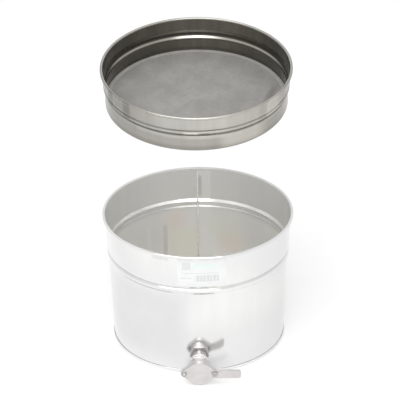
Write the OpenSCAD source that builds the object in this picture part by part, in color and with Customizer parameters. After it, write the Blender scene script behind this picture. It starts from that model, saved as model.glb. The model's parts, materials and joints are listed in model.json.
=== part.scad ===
// Honey tank with its lift-out strainer and honey gate.
// The origin is the middle of the base, on the floor. Up is +Z and the gate faces -Y.

/* [Tank] */
// Height from the floor to the top of the rolled rim
tank_h = 280; // [240:5:400]
// Outside diameter that the wall below the collar would have at the rim
mouth_d = 378; // [340:2:420]
// How much smaller across the wall is at the foot than at the rim
taper = 24; // [10:1:30]
// Thickness of the stainless sheet
sheet = 0.8; // [0.6:0.1:1]
// Diameter of the wire rolled into the tank's rim
rim_wire_d = 4.5; // [3.5:0.5:6]
// Depth below the rim of the groove pressed in round the wall
groove_drop = 78.5; // [77:0.5:100]
// Height of that groove
groove_h = 10; // [7:0.5:11]
// How deep that groove is
groove_d = 2.8; // [2:0.1:3]
// Distance from the groove down to the step under the tank's bead
bead_h = 10.5; // [8:0.5:16]
// Height of that step
step_h = 3; // [2:0.5:4]
// How much larger in radius the bead and the collar are than the wall below them
collar_step = 1.8; // [1.2:0.1:2.4]
// Height of the folded hem round the foot
hem_h = 7; // [6:0.5:10]
// Height of the base panel above the floor
panel_lift = 5; // [3:0.5:5]

/* [Outlet] */
// Height of the outlet's axis above the floor
outlet_z = 28; // [27.5:0.5:40]
// Outside diameter of the outlet pipe
pipe_d = 32; // [28:1:34]
// Bore of the outlet pipe and of the gate
bore_d = 27; // [20:1:27]
// Distance from the foot of the wall to the gate's sealing face
gate_reach = 44.5; // [42:0.5:60]
// Width of the weld round the outlet pipe
weld_w = 2.5; // [1.5:0.5:3]
// Distance across the flats of the lock nut
lock_nut_af = 42; // [40:1:46]
// Thickness of the lock nut
lock_nut_t = 5; // [4:0.5:6]

/* [Gate] */
// Radius of the gate's round plates
plate_r = 25; // [24:0.5:26]
// Thickness of the gate's fixed flange
flange_t = 5; // [4:0.5:6]
// Thickness of the swinging flap
flap_t = 4; // [3:0.5:5]
// Outside diameter of the socket behind the flange
socket_d = 42; // [40:1:44]
// Length of the socket behind the flange
socket_l = 17; // [14:1:18]
// Distance between the pivot bolt and the clamp bolt
bolt_gap = 62; // [60:1:68]
// Radius of the ears round the two bolts
ear_r = 7; // [6:0.5:8]
// Diameter of the two bolts
bolt_d = 5; // [4:0.5:6]
// Reach of the handle's tip from the gate's axis
handle_reach = 84; // [70:1:110]
// Width of the handle
handle_w = 18; // [12:1:20]
// Diameter of the knurled clamp nut
knob_d = 12; // [10:0.5:13]
// Thickness of the knurled clamp nut
knob_t = 7; // [5:0.5:9]
// How far the seal stands out of the flange
seal_proud = 0.4; // [0.2:0.1:0.6]

/* [Strainer] */
// Height of the strainer
strainer_h = 81; // [70:1:110]
// How far inside the middle of the tank's rolled rim the strainer's rolled rim rests
seat_in = 4.4; // [3:0.2:4.8]
// Height of the band's lower groove above its lower edge
band_low_h = 35; // [28:1:38]
// Distance between the band's two grooves
band_bead_h = 12.5; // [12:0.5:16]
// How much the band is drawn in at its upper groove
upper_draw = 1; // [0.5:0.1:2]
// How much the band is drawn in at its lower groove
lower_draw = 3.5; // [2.5:0.1:4]
// Height of each of the two grooves
band_groove_h = 10; // [7:0.5:11]
// How deep each of them is below the wall under it
band_groove_d = 1.2; // [0.8:0.1:1.6]
// Diameter of the wire rolled into the strainer's rim
strainer_wire_d = 4; // [3:0.2:4.4]
// Height of the mesh above the strainer's lower edge
mesh_lift = 7; // [6:0.5:12]
// Thickness of the woven mesh
mesh_t = 0.5; // [0.4:0.1:0.8]
// Width of the rings that hold the mesh
ring_w = 8; // [6:0.5:12]

/* [Lifted pose] */
// Height that the strainer is lifted off its seat
lift_h = 332; // [200:1:350]
// Angle that the lifted strainer is tipped to the front
tip_angle = 6.5; // [4:0.5:9]

/* [Label] */
// Width of the paper label
label_w = 98; // [40:2:120]
// Height of the paper label
label_h = 62; // [30:2:62]
// Turn of the label's middle round the tank from the gate
label_turn = 2; // [-20:1:20]
// Thickness of the paper label
label_t = 0.15; // [0.1:0.05:0.2]

/* [Fits] */
// Radial clearance of a bolt in a hole that turns on it
run_fit = 0.05; // [0.02:0.01:0.1]
// Gap between flat faces that slide on each other
face_gap = 0.1; // [0.1:0.05:0.2]
// Gap left under the strainer when it is seated
seat_gap = 0.3; // [0.2:0.1:0.5]
// Film of glue between the label and the tank
glue_film = 0.05; // [0.02:0.01:0.1]

/* [Hidden] */
$fn = 180;

steel = [0.86, 0.86, 0.85];
dark_steel = [0.62, 0.62, 0.58];
weld_grey = [0.7, 0.7, 0.68];
gauze_grey = [0.6, 0.6, 0.58];
eps = 0.01;

// The wall is a straight foot as high as the hem, then an even taper to the rim.
foot_r = mouth_d / 2 - taper / 2;
wall_slope = (taper / 2) / (tank_h - hem_h);
function cone_r(z) = foot_r + wall_slope * max(0, z - hem_h);
rim_curl_r = rim_wire_d / 2 + sheet;
rim_curl_z = tank_h - rim_curl_r;
rim_curl_c = cone_r(rim_curl_z) + collar_step - sheet + rim_curl_r;
groove_z = tank_h - groove_drop;
step_z = groove_z - bead_h;
groove_lean = 0.7;
collar_low_z = groove_z + groove_lean * groove_h;
function collar_r(z) = cone_r(z) + collar_step;

// The base panel is pressed as an upside-down cup and its skirt is folded into the hem.
panel_z = panel_lift;
hem_in_r = foot_r - 3 * sheet;

// The sheet's two edges are butt welded, from the hem to just under the rolled rim.
seam_w = 3;
seam_proud = 0.35;
seam_end = 1;
seam_top = tank_h - 2 * rim_curl_r - seam_end;

// Places on the gate, measured outwards from its sealing face.
gate_y = foot_r + gate_reach;
flap_z = seal_proud + face_gap;
flap_front = flap_z + flap_t;
washer_t = 1;
washer_r = bolt_d / 2 + 2.6;
nut_z = flap_front + face_gap + washer_t + face_gap;
nut_t = 4;
nut_r = 4.6;
dome_r = 3.9;
head_t = 3;
head_r = 4.6;
bolt_end = 1.2;
pipe_end = -flange_t - 1;
seal_w = 3.5;
seal_in_r = bore_d / 2 + 1.5;
seal_depth = 1.6;
slot_r = bolt_d / 2 + 0.6;
slot_sweep = 26;
handle_shift = -2;
handle_corner = 5;
handle_root = bolt_gap / 2 + slot_r + 2;
knurl_count = 24;
knurl_r = 0.5;

// The strainer is placed on its seat first. Its rolled rim rests on the inner edge of the tank's.
band_curl_r = strainer_wire_d / 2 + sheet;
band_curl_z = strainer_h - band_curl_r;
band_curl_c = rim_curl_c - seat_in;
band_r = band_curl_c - band_curl_r + sheet;
band_bead_r = band_r - upper_draw;
low_r = band_bead_r - lower_draw;
seat_rise = sqrt(pow(rim_curl_r + band_curl_r + seat_gap, 2) - pow(seat_in, 2));
seat_z = rim_curl_z + seat_rise;
strainer_z = seat_z - band_curl_z;
upper_groove_z = band_low_h + band_bead_h;
edge_turn = 3;
edge_points = 6;
edge_flat = 3;
swing_reach = lift_h / sin(tip_angle);
band_seam_turn = 250;
band_seam_low = upper_groove_z + groove_lean * band_groove_h + seam_end;
band_seam_top = strainer_h - 2 * band_curl_r - seam_end;

// Outlines and shapes that several pieces share

module ring(outer_r, inner_r, h) {
    difference() {
        cylinder(r = outer_r, h = h);
        translate([0, 0, -eps]) cylinder(r = inner_r, h = h + 2 * eps);
    }
}

module hoop(centre_r, z, r) {
    rotate_extrude() translate([centre_r, z]) circle(r = r, $fn = 32);
}

module at_gate() {
    translate([0, -gate_y, outlet_z]) rotate([90, 0, 0]) children();
}

module at_pivot() {
    at_gate() translate([-bolt_gap / 2, 0, 0]) children();
}

module at_clamp() {
    at_gate() translate([bolt_gap / 2, 0, 0]) children();
}

// The hand swings the loose strainer about a far line in front, level with its seat.
module lifted() {
    translate([0, -swing_reach, seat_z])
        rotate([tip_angle, 0, 0])
            translate([0, swing_reach, strainer_z - seat_z])
                children();
}

// A disc with a smaller disc beside it, joined by their two tangents
module ear_outline(big_r, small_r, reach) {
    lean = acos((big_r - small_r) / reach);
    circle(r = big_r);
    translate([reach, 0]) circle(r = small_r, $fn = 48);
    polygon([
        [big_r * cos(lean), big_r * sin(lean)],
        [reach + small_r * cos(lean), small_r * sin(lean)],
        [reach + small_r * cos(lean), -small_r * sin(lean)],
        [big_r * cos(lean), -big_r * sin(lean)]
    ]);
}

module plate_outline() {
    ear_outline(plate_r, ear_r, bolt_gap / 2);
    mirror([1, 0]) ear_outline(plate_r, ear_r, bolt_gap / 2);
}

// A groove pressed in from outside: the wall below it, its bottom and the wall above it
function groove_line(z, h, below_r, above_r, depth) = [
    [below_r, z - (1 - groove_lean) * h],
    [below_r - depth, z],
    [above_r, z + groove_lean * h]
];

wall_points = concat(
    [[foot_r, sheet], [foot_r, hem_h]],
    [for (side = [-1, 1])
        let (z = step_z + side * step_h / 2)
        [side < 0 ? cone_r(z) : collar_r(z), z]],
    groove_line(groove_z, groove_h, collar_r(groove_z), collar_r(collar_low_z), groove_d),
    [[collar_r(rim_curl_z), rim_curl_z]]
);

function moved_in(points, inset) = [for (point = points) [point[0] - inset, point[1]]];
function wall_line(inset) = moved_in(wall_points, inset);
function backwards(points) = [for (i = [len(points) - 1 : -1 : 0]) points[i]];

// Tank

module wall_section() {
    polygon(concat(wall_line(0), backwards(wall_line(sheet))));
    translate([rim_curl_c, rim_curl_z]) difference() {
        circle(r = rim_curl_r, $fn = 48);
        circle(r = rim_curl_r - sheet, $fn = 48);
    }
}

module seam_room(gap = 0) {
    translate([gap - seam_w / 2, 0, hem_h + gap])
        cube([seam_w - 2 * gap, mouth_d, seam_top - hem_h - 2 * gap]);
}

module tank_wall() {
    color(steel) difference() {
        rotate_extrude() wall_section();
        translate([0, 0, outlet_z]) rotate([90, 0, 0])
            cylinder(r = pipe_d / 2, h = mouth_d);
        seam_room();
    }
}

module tank_rim_wire() {
    color(steel) hoop(rim_curl_c, rim_curl_z, rim_wire_d / 2 - run_fit);
}

module tank_bottom() {
    color(steel) rotate_extrude() {
        translate([0, panel_z]) square([foot_r - sheet, sheet]);
        translate([foot_r - 2 * sheet, sheet]) square([sheet, panel_z]);
    }
}

module base_hem() {
    color(steel) rotate_extrude() {
        translate([foot_r, 0]) square([2 * sheet, hem_h - sheet]);
        translate([foot_r + sheet, hem_h - sheet]) circle(r = sheet, $fn = 32);
        translate([hem_in_r, 0]) square([foot_r - hem_in_r, sheet]);
        translate([hem_in_r, 0]) square([sheet, panel_z]);
    }
}

module side_seam_weld() {
    color(weld_grey) intersection() {
        rotate_extrude() polygon(concat(wall_line(0), backwards(wall_line(sheet + seam_proud))));
        seam_room(eps);
    }
}

module outlet_pipe() {
    color(steel) difference() {
        at_gate() rotate([180, 0, 0]) translate([0, 0, -pipe_end])
            ring(pipe_d / 2, bore_d / 2, gate_y + pipe_end);
        translate([0, 0, hem_h]) cylinder(
            r1 = foot_r - sheet, r2 = foot_r - sheet + wall_slope * tank_h, h = tank_h
        );
        cylinder(r = foot_r - sheet, h = hem_h + eps);
    }
}

module outlet_weld() {
    color(weld_grey) difference() {
        at_gate() translate([0, 0, -gate_reach - 2 * weld_w])
            ring(pipe_d / 2 + weld_w, pipe_d / 2, 3 * weld_w);
        translate([0, 0, hem_h])
            cylinder(r1 = foot_r, r2 = foot_r + wall_slope * tank_h, h = tank_h);
    }
}

// Gate

module lock_nut() {
    color(steel) at_gate() translate([0, 0, -flange_t - socket_l - lock_nut_t]) difference() {
        cylinder(d = lock_nut_af / cos(30), h = lock_nut_t, $fn = 6);
        translate([0, 0, -eps])
            cylinder(r = pipe_d / 2 + run_fit, h = lock_nut_t + 2 * eps);
    }
}

module gate_body() {
    color(steel) at_gate() difference() {
        union() {
            translate([0, 0, -flange_t]) linear_extrude(flange_t) plate_outline();
            translate([0, 0, -flange_t - socket_l]) cylinder(d = socket_d, h = socket_l + eps);
        }
        translate([0, 0, -flange_t - socket_l - eps])
            cylinder(r = pipe_d / 2 + run_fit, h = socket_l + flange_t + pipe_end + eps);
        translate([0, 0, -flange_t - socket_l]) cylinder(d = bore_d, h = flange_t + socket_l + eps);
        translate([0, 0, -seal_depth]) cylinder(r = seal_in_r + seal_w, h = seal_depth + eps);
        for (side = [-1, 1]) translate([side * bolt_gap / 2, 0, -flange_t - eps])
            cylinder(r = bolt_d / 2 + run_fit, h = flange_t + 2 * eps);
    }
}

module gate_seal() {
    color([0.92, 0.92, 0.9]) at_gate() translate([0, 0, -seal_depth])
        ring(seal_in_r + seal_w, seal_in_r, seal_depth + seal_proud);
}

module handle_outline() {
    translate([handle_root, handle_shift - handle_w / 2])
        square([handle_reach - handle_root - handle_corner, handle_w]);
    translate([handle_root, handle_shift - handle_w / 2 + handle_corner])
        square([handle_reach - handle_root, handle_w - 2 * handle_corner]);
    for (y = [handle_corner, handle_w - handle_corner])
        translate([handle_reach - handle_corner, handle_shift - handle_w / 2 + y])
            circle(r = handle_corner, $fn = 48);
    polygon([
        [bolt_gap / 2, ear_r],
        [handle_root, handle_shift + handle_w / 2],
        [handle_root, handle_shift - handle_w / 2],
        [bolt_gap / 2, -ear_r]
    ]);
}

// The slot lets the flap lift off the clamp bolt: an arc about the pivot, open below.
module clamp_slot(h) {
    translate([bolt_gap / 2, 0, 0]) cylinder(r = slot_r, h = h);
    translate([-bolt_gap / 2, 0, 0]) intersection() {
        ring(bolt_gap + slot_r, bolt_gap - slot_r, h);
        linear_extrude(h) polygon([
            [0, 0],
            [2 * bolt_gap, 0],
            [2 * bolt_gap, -2 * bolt_gap * tan(slot_sweep)]
        ]);
    }
}

module gate_flap() {
    color(steel) at_gate() translate([0, 0, flap_z]) difference() {
        union() {
            linear_extrude(flap_t) plate_outline();
            linear_extrude(flap_t) handle_outline();
        }
        translate([-bolt_gap / 2, 0, -eps])
            cylinder(r = bolt_d / 2 + run_fit, h = flap_t + 2 * eps);
        translate([0, 0, -eps]) clamp_slot(flap_t + 2 * eps);
    }
}

module bolt() {
    translate([0, 0, -flange_t - head_t]) cylinder(r = head_r, h = head_t, $fn = 6);
    translate([0, 0, -flange_t - eps])
        cylinder(d = bolt_d, h = flange_t + nut_z + nut_t - bolt_end + eps);
}

module pivot_bolt() {
    color(dark_steel) at_pivot() bolt();
}

module clamp_bolt() {
    color(dark_steel) at_clamp() {
        bolt();
        cylinder(d = bolt_d, h = nut_z + knob_t + bolt_end);
    }
}

module washer() {
    translate([0, 0, flap_front + face_gap]) ring(washer_r, bolt_d / 2 + run_fit, washer_t);
}

module pivot_washer() {
    color(steel) at_pivot() washer();
}

module clamp_washer() {
    color(steel) at_clamp() washer();
}

module pivot_nut() {
    color(dark_steel) at_pivot() translate([0, 0, nut_z]) difference() {
        union() {
            cylinder(r = nut_r, h = nut_t, $fn = 6);
            translate([0, 0, nut_t - dome_r / 3]) difference() {
                sphere(r = dome_r, $fn = 48);
                translate([-dome_r, -dome_r, -2 * dome_r]) cube(2 * dome_r);
            }
        }
        translate([0, 0, -eps]) cylinder(r = bolt_d / 2 + run_fit, h = nut_t - bolt_end + 2 * eps);
    }
}

module clamp_nut() {
    color(dark_steel) at_clamp() translate([0, 0, nut_z]) difference() {
        cylinder(d = knob_d, h = knob_t);
        translate([0, 0, -eps]) cylinder(r = bolt_d / 2 + run_fit, h = knob_t + 2 * eps);
        for (i = [0 : knurl_count - 1]) rotate(i * 360 / knurl_count)
            translate([knob_d / 2, 0, -eps]) cylinder(r = knurl_r, h = knob_t + 2 * eps, $fn = 16);
    }
}

// The paper label lies on the collar, between the groove and the rim.

module label() {
    low = collar_low_z + (rim_curl_z - rim_curl_r - collar_low_z - label_h) / 2;
    high = low + label_h;
    color("white") rotate(label_turn) intersection() {
        rotate_extrude() polygon([
            [collar_r(low) + glue_film, low],
            [collar_r(low) + glue_film + label_t, low],
            [collar_r(high) + glue_film + label_t, high],
            [collar_r(high) + glue_film, high]
        ]);
        translate([-label_w / 2, -mouth_d, low]) cube([label_w, mouth_d, label_h]);
    }
}

// Strainer, drawn with its lower edge at z = 0

// The lower edge is turned in on a small radius and ends in a short flat.
function edge_line(r) = [for (i = [edge_points : -1 : 0])
    let (a = 90 * i / edge_points)
    [low_r - edge_turn + r * cos(a), edge_turn - r * sin(a)]];

band_points = concat(
    groove_line(band_low_h, band_groove_h, low_r, band_bead_r, band_groove_d),
    groove_line(upper_groove_z, band_groove_h, band_bead_r, band_r, band_groove_d),
    [[band_r, band_curl_z]]
);

function band_line(inset) = concat(
    [[low_r - edge_turn - edge_flat, inset]],
    edge_line(edge_turn - inset),
    moved_in(band_points, inset)
);

module band_section() {
    polygon(concat(band_line(0), backwards(band_line(sheet))));
    translate([band_curl_c, band_curl_z]) difference() {
        circle(r = band_curl_r, $fn = 48);
        circle(r = band_curl_r - sheet, $fn = 48);
    }
}

module band_seam_room(gap = 0) {
    rotate(band_seam_turn) translate([0, gap - seam_w / 2, band_seam_low + gap])
        cube([mouth_d, seam_w - 2 * gap, band_seam_top - band_seam_low - 2 * gap]);
}

module strainer_band() {
    color(dark_steel) lifted() difference() {
        rotate_extrude() band_section();
        band_seam_room();
    }
}

module strainer_rim_wire() {
    color(dark_steel) lifted() hoop(band_curl_c, band_curl_z, strainer_wire_d / 2 - run_fit);
}

module mesh_seat_ring() {
    color(dark_steel) lifted() rotate_extrude() {
        translate([low_r - 2 * sheet, edge_turn]) square([sheet, mesh_lift - edge_turn]);
        translate([low_r - sheet - ring_w, mesh_lift - sheet]) square([ring_w, sheet]);
    }
}

module strainer_mesh() {
    color(gauze_grey) lifted() translate([0, 0, mesh_lift])
        cylinder(r = low_r - sheet, h = mesh_t);
}

module mesh_hold_ring() {
    color(dark_steel) lifted() translate([0, 0, mesh_lift + mesh_t])
        ring(low_r - sheet, low_r - sheet - ring_w, sheet);
}

module band_seam_weld() {
    color(weld_grey) lifted() intersection() {
        ring(band_r, band_r - sheet - seam_proud, strainer_h);
        band_seam_room(eps);
    }
}

tank_wall();
tank_rim_wire();
tank_bottom();
base_hem();
side_seam_weld();
outlet_pipe();
outlet_weld();
lock_nut();
gate_body();
gate_seal();
gate_flap();
pivot_bolt();
pivot_washer();
pivot_nut();
clamp_bolt();
clamp_washer();
clamp_nut();
label();
strainer_band();
strainer_rim_wire();
strainer_mesh();
mesh_seat_ring();
mesh_hold_ring();
band_seam_weld();
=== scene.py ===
# Honey tank with its lifted strainer: the finish of every piece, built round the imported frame.
import json
import math

import bmesh
import bpy
from mathutils import Matrix, Vector, noise


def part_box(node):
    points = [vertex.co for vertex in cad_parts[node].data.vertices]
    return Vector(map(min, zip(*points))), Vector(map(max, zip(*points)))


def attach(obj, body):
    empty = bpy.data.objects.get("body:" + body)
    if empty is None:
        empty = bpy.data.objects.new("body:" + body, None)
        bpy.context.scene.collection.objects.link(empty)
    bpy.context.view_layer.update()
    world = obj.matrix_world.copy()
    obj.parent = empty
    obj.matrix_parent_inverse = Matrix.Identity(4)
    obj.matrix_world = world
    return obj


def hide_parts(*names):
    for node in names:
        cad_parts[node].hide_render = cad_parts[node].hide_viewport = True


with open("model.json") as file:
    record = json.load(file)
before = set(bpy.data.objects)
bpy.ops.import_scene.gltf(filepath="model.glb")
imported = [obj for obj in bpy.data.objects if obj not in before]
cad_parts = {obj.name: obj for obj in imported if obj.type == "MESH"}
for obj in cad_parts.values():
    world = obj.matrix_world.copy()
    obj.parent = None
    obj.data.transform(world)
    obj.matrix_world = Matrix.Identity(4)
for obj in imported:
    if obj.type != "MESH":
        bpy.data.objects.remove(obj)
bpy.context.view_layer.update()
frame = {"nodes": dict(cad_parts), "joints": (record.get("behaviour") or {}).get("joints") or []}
joints = {joint["name"]: joint for joint in frame["joints"]}
mm = 0.001
print("frame loaded:", len(frame["nodes"]), "nodes")


# Camera

cameraFit = {
    "place": (0, -4.615, 2.787),  # fitted to the rims, the foot, the bead and the gate's bolts
    "elevation": 28.277,
    "turn": -0.059,
    "roll": -0.583,
    "focal": 2565,  # in pixels of a picture 400 wide
    "picture": 400,
    "sensor": 36,
    "clipping": (0.5, 40),
}


def makeCamera(fit):
    lens = bpy.data.cameras.new("camera")
    lens.sensor_width = fit["sensor"]
    lens.lens = fit["sensor"] * fit["focal"] / fit["picture"]
    lens.clip_start, lens.clip_end = fit["clipping"]
    camera = bpy.data.objects.new("camera", lens)
    bpy.context.scene.collection.objects.link(camera)
    tilt = Matrix.Rotation(math.radians(90 - fit["elevation"]), 4, "X")
    turn = Matrix.Rotation(math.radians(fit["turn"]), 4, "Z")
    roll = Matrix.Rotation(math.radians(fit["roll"]), 4, "Z")
    camera.matrix_world = Matrix.Translation(fit["place"]) @ turn @ tilt @ roll
    bpy.context.scene.camera = camera


makeCamera(cameraFit)
print("camera set")


# Shader maths and materials

class Value:
    def __init__(self, look, socket):
        self.look = look
        self.socket = socket

    def maths(self, operation, *others):
        return self.look.add("ShaderNodeMath", {"operation": operation}, dict(enumerate((self, *others))))

    def __add__(self, other):
        return self.maths("ADD", other)

    def __sub__(self, other):
        return self.maths("SUBTRACT", other)

    def __rsub__(self, other):
        return self.look.add("ShaderNodeMath", {"operation": "SUBTRACT"}, {0: other, 1: self})

    def __mul__(self, other):
        return self.maths("MULTIPLY", other)

    __radd__ = __add__
    __rmul__ = __mul__

    def __abs__(self):
        return self.maths("ABSOLUTE")

    def sine(self):
        return self.maths("SINE")

    def largest(self, other):
        return self.maths("MAXIMUM", other)

    # 1 inside the band round a place, 0 outside it, with soft edges
    def near(self, place, half, soft):
        return self.look.ramp(abs(self - place), half + soft, half)

    # 0 at low and 1 at high, or the other way round
    def rise(self, low, high):
        return self.look.ramp(self, low, high)


class Nodes:
    def __init__(self, tree, shader, constants):
        self.tree = tree
        self.shader = tree.nodes[shader]
        for label, value in constants.items():
            self.shader.inputs[label].default_value = value

    def add(self, kind, settings, inputs, output=0):
        node = self.tree.nodes.new(kind)
        for label, value in settings.items():
            setattr(node, label, value)
        for label, value in inputs.items():
            if isinstance(value, Value):
                self.tree.links.new(value.socket, node.inputs[label])
            else:
                node.inputs[label].default_value = value
        return Value(self, node.outputs[output])

    # More outputs of the node that a value came from
    def outputs(self, value, *labels):
        sockets = value.socket.node.outputs
        return [Value(self, sockets[label]) for label in labels]

    def feed(self, label, value):
        self.tree.links.new(value.socket, self.shader.inputs[label])


class Look(Nodes):
    def __init__(self, name, constants):
        self.material = bpy.data.materials.new(name)
        self.material.use_nodes = True
        super().__init__(self.material.node_tree, "Principled BSDF", constants)

    # Object coordinates, taken back to where the piece was drawn and then stretched
    def place(self, moved=Matrix(), scale=(1, 1, 1)):
        spot = self.add("ShaderNodeTexCoord", {}, {}, "Object")
        back = moved.inverted()
        inputs = {"Vector": spot, "Location": back.to_translation(), "Rotation": back.to_euler()}
        drawn = self.add("ShaderNodeMapping", {}, inputs)
        return self.add("ShaderNodeMapping", {}, {"Vector": drawn, "Scale": scale})

    def axes(self, vector):
        split = self.add("ShaderNodeSeparateXYZ", {}, {"Vector": vector})
        return self.outputs(split, "X", "Y", "Z")

    # Noise of a scale, with its finer layers and their strength
    def cloud(self, vector, scale, detail, rough):
        inputs = {"Vector": vector, "Scale": scale, "Detail": detail, "Roughness": rough}
        return self.add("ShaderNodeTexNoise", {}, inputs, "Fac")

    def ramp(self, value, low, high):
        inputs = {"Value": value, "From Min": low, "From Max": high}
        return self.add("ShaderNodeMapRange", {"interpolation_type": "SMOOTHSTEP"}, inputs)

    # Colours go through Mix, which takes the factor at 0 and the colours at 6 and 7
    def tint(self, factor, first, second):
        rows = {0: factor}
        for slot, colour in ((6, first), (7, second)):
            rows[slot] = colour if isinstance(colour, Value) else (*colour, 1)
        return self.add("ShaderNodeMix", {"data_type": "RGBA", "blend_type": "MIX"}, rows, 2)

    def bump(self, height, strength, distance):
        inputs = {"Height": height, "Strength": strength, "Distance": distance}
        self.feed("Normal", self.add("ShaderNodeBump", {}, inputs, "Normal"))


# Rolled sheet: streaks along the wall, a slow colour drift, faint smears and waves, and painted shade on
# the left and right sides.
# A band runs right round: lowest, highest, soft edge, depth, colour. Bands paint shade, highlights and
# light.
# A mark is a soft-edged spot: front (-1) or far (1) side, middle and half width along X,
# lowest, highest, soft edge along X, soft edge along Z, depth, colour. Most marks are painted
# reflections, highlights and shade.
def sheetLook(name, plan, moved=Matrix(), bands=(), marksAndPaintedLight=()):
    look = Look(name, {"Metallic": plan["metallic"]})
    around = look.place(moved)
    x, y, z = look.axes(around)
    streaks = look.cloud(look.place(moved, (1, 1, plan["streakRun"])), plan["streakScale"], 3, 0.6)
    drift = look.cloud(around, plan["driftScale"], 1, 0.4)
    smears = look.cloud(around, plan["smearScale"], 4, 0.6)
    colour = look.tint(drift.rise(0.35, 0.65), plan["cool"], plan["warm"])
    colour = look.tint(streaks.rise(0.3, 0.8) * plan["streakDepth"], colour, plan["streak"])
    # painted shade: the left and right sides, where |x| is large, darken towards the shade colour
    if plan["paintedSideShadeDepth"]:
        side = abs(x).rise(plan["paintedSideShadeFrom"] * plan["radius"], plan["radius"]) * (0.6 + streaks * 0.8)
        colour = look.tint(side * plan["paintedSideShadeDepth"], colour, plan["shade"])
    # bands paint shade in creases, painted highlights and painted light right round
    for low, high, soft, depth, ink in bands:
        line = z.near((low + high) / 2, (high - low) / 2, soft)
        colour = look.tint(line * (depth * (0.7 + smears * 0.6)), colour, ink)
    # spots: mostly painted reflections, highlights and shade, fixed on the metal
    for side, middle, half, low, high, softX, softZ, depth, ink in marksAndPaintedLight:
        spot = x.near(middle, half, softX) * z.near((low + high) / 2, (high - low) / 2, softZ)
        facing = (y * side).rise(0, 0.02)
        colour = look.tint(spot * facing * (depth * (0.5 + smears)), colour, ink)
    look.feed("Base Color", colour)
    if "polished" in plan:
        low, high, soft = plan["polished"]
        line = z.near((low + high) / 2, (high - low) / 2, soft)
        look.feed("Metallic", plan["metallic"] + line * (1 - plan["metallic"]))
    worn = smears.rise(0.52, 0.72)
    look.feed("Roughness", plan["rough"] + streaks * plan["roughStreak"] + worn * plan["roughSmear"])
    waves = look.cloud(look.place(moved, (1, 1, plan["waveRun"])), plan["waveScale"], 1, 0.4)
    look.bump(waves + streaks * plan["streakBump"], 1.0, plan["waveHeight"])
    return look.material


# shade, the side depth and where it starts give painted shade on the left and right sides of each sheet
tankOutside = {
    "cool": (0.755, 0.755, 0.765), "warm": (0.82, 0.82, 0.80), "streak": (0.74, 0.74, 0.73),
    "shade": (0.66, 0.66, 0.67), "streakScale": 50, "streakRun": 0.03, "streakDepth": 0.35,
    "driftScale": 6, "smearScale": 26, "rough": 0.10, "roughStreak": 0.05, "roughSmear": 0.04,
    "waveScale": 14, "waveRun": 0.35, "waveHeight": 0.7 * mm, "streakBump": 0.008,
    "metallic": 1.0, "paintedSideShadeDepth": 0.25, "paintedSideShadeFrom": 0.35, "radius": 0.19,
}
# Inside the tank: lighter than the outside of the same sheet, painted light that makes up for the lifted
# strainer's shadow
tankInsidePaintedLight = dict(
    tankOutside, cool=(0.86, 0.86, 0.845), warm=(0.875, 0.865, 0.84), streak=(0.80, 0.79, 0.765),
    rough=0.2, driftScale=11, waveHeight=0.9 * mm, metallic=0.35, paintedSideShadeDepth=0.8, shade=(0.68, 0.68, 0.67),
)
strainerOutside = dict(
    tankOutside, cool=(0.44, 0.433, 0.406), warm=(0.50, 0.484, 0.444), streak=(0.38, 0.37, 0.335),
    shade=(0.17, 0.165, 0.15), rough=0.2, roughStreak=0.1, driftScale=9, waveHeight=0.8 * mm,
    streakDepth=0.5, paintedSideShadeDepth=0.5, radius=0.185,
)
# Inside the strainer: far darker than the outside of the same sheet, painted shade
strainerInsidePaintedShade = dict(
    strainerOutside, cool=(0.165, 0.16, 0.14), warm=(0.225, 0.21, 0.185), streak=(0.11, 0.105, 0.09),
    shade=(0.10, 0.095, 0.085), rough=0.2, waveHeight=1.0 * mm, paintedSideShadeDepth=0.4,
)
# Painted light colours: grey and dark painted shade for crease lines and dark reflections, cream for
# painted highlights and glints
greyPaintedShade = (0.34, 0.34, 0.33)
darkPaintedShade = (0.07, 0.068, 0.06)
creamPaintedHighlight = (0.86, 0.83, 0.74)


# Turned and stamped steel: fine turning marks and handling smears
def turnedLook(name, plan):
    look = Look(name, {"Metallic": plan["metallic"]})
    spot = look.place()
    grain = look.cloud(look.place(scale=plan["grainRun"]), plan["grainScale"], 3, 0.6)
    smears = look.cloud(spot, plan["smearScale"], 4, 0.55)
    colour = look.tint(smears.rise(0.35, 0.7), plan["light"], plan["dark"])
    look.feed("Base Color", look.tint(grain.rise(0.5, 0.9) * 0.5, colour, plan["dark"]))
    look.feed("Roughness", plan["rough"] + smears * plan["roughSmear"])
    look.bump(grain + smears * 2, 1.0, plan["height"])
    return look.material


gateSteel = {
    "light": (0.70, 0.685, 0.67), "dark": (0.54, 0.525, 0.515), "grainRun": (1, 1, 0.2),
    "grainScale": 900, "smearScale": 55, "rough": 0.2, "roughSmear": 0.2, "height": 0.02 * mm,
    "metallic": 1.0,
}
smoothSteel = dict(
    gateSteel, light=(0.64, 0.62, 0.61), dark=(0.58, 0.565, 0.555), rough=0.26, roughSmear=0.1,
)
paleSteel = dict(gateSteel, light=(0.78, 0.77, 0.76), dark=(0.68, 0.67, 0.66), rough=0.35)
boltSteel = dict(gateSteel, light=(0.56, 0.55, 0.54), dark=(0.44, 0.43, 0.42), rough=0.32)
wireSteel = dict(gateSteel, light=(0.72, 0.72, 0.70), dark=(0.55, 0.55, 0.53), rough=0.3)
dullSteel = dict(
    gateSteel, light=(0.46, 0.45, 0.43), dark=(0.38, 0.37, 0.35), rough=0.55, metallic=0.35,
)


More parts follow.
